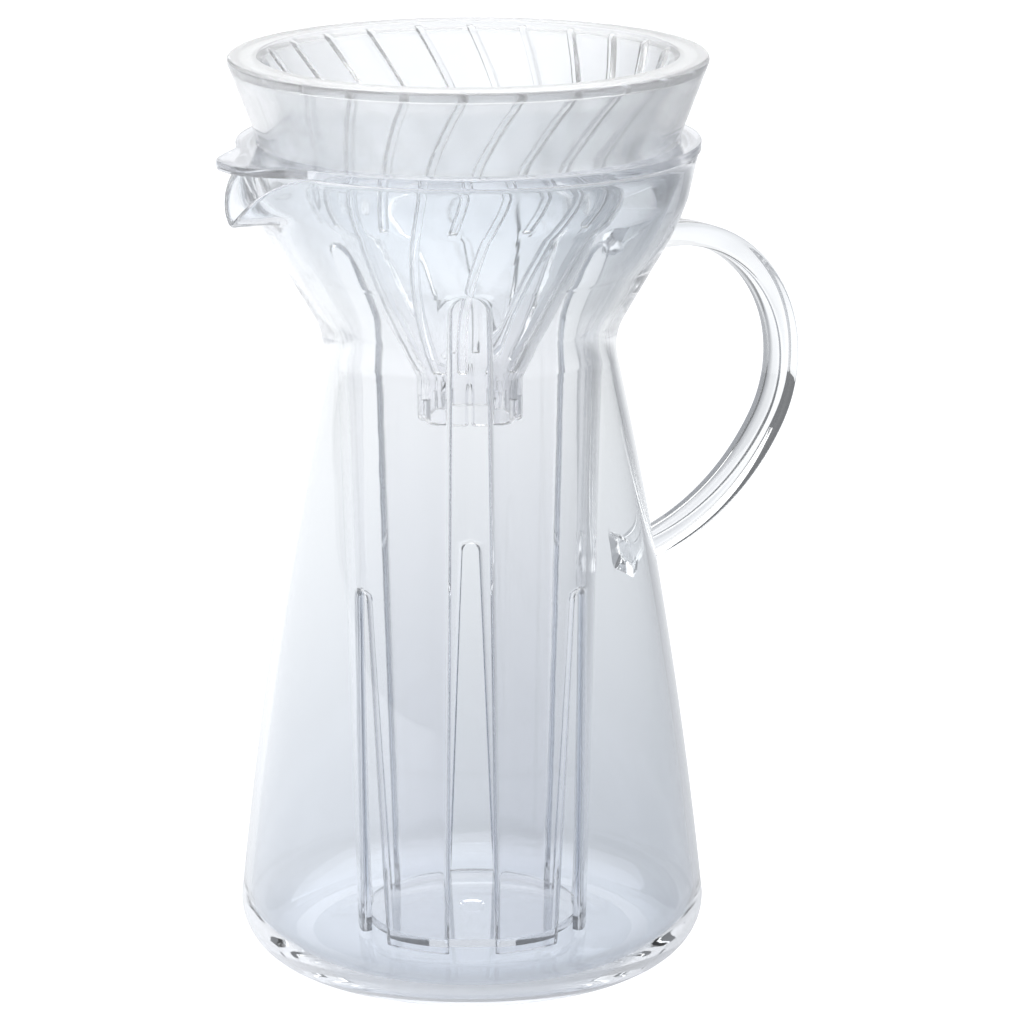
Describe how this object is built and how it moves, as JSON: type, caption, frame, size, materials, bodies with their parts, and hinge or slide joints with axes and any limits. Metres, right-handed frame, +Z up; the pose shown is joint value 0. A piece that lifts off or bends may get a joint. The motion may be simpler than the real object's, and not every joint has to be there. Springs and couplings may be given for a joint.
{
  "type": "iced coffee maker",
  "caption": "Waisted glass carafe with spout and strap handle, slotted clear ice strainer hanging inside, and a ribbed clear cone dripper on top.",
  "frame": {"origin": "middle of the carafe's foot, on the surface it stands on", "axes": "+Z up, +X towards the handle, -X towards the spout"},
  "size_m": [0.161, 0.116, 0.226],
  "materials": {
    "borosilicate_glass": "clear, fire-polished",
    "clear_plastic": "clear, glossy, moulded"
  },
  "bodies": {
    "carafe": {"carafe_body": "borosilicate_glass", "carafe_handle": "borosilicate_glass"},
    "strainer": {"ice_strainer": "clear_plastic"},
    "dripper": {"dripper": "clear_plastic"}
  },
  "joints": [
    {"name": "strainer_lift", "type": "slide", "parent": "carafe", "child": "strainer", "axis": [0, 0, 1], "range_m": [0, 0.21]},
    {"name": "dripper_lift", "type": "slide", "parent": "strainer", "child": "dripper", "axis": [0, 0, 1], "range_m": [0, 0.09]}
  ]
}
